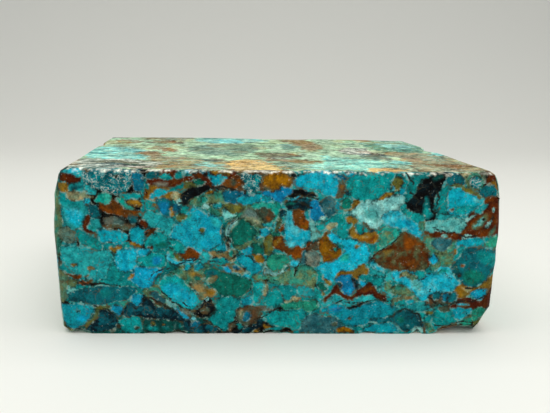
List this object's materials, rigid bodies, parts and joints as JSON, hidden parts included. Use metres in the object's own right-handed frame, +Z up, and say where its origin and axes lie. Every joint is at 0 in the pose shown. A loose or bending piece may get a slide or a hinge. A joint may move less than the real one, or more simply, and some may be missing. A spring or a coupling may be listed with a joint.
{
  "type": "raw turquoise block",
  "caption": "Sawn block of compressed turquoise, off-square, ground smooth on its front, with a broken lower corner and a flat base to stand on.",
  "frame": {"origin": "centre of the bounding box in plan, at the level of the sawn base that it stands on", "axes": "+X to the right along the front face, +Y from the ground front face to the back, +Z up"},
  "size_m": [0.1612, 0.1142, 0.0595],
  "materials": {
    "turquoise": "ground smooth and glossy in front, dry sawn elsewhere"
  },
  "bodies": {
    "root": {"turquoise_block": "turquoise"}
  },
  "joints": []
}
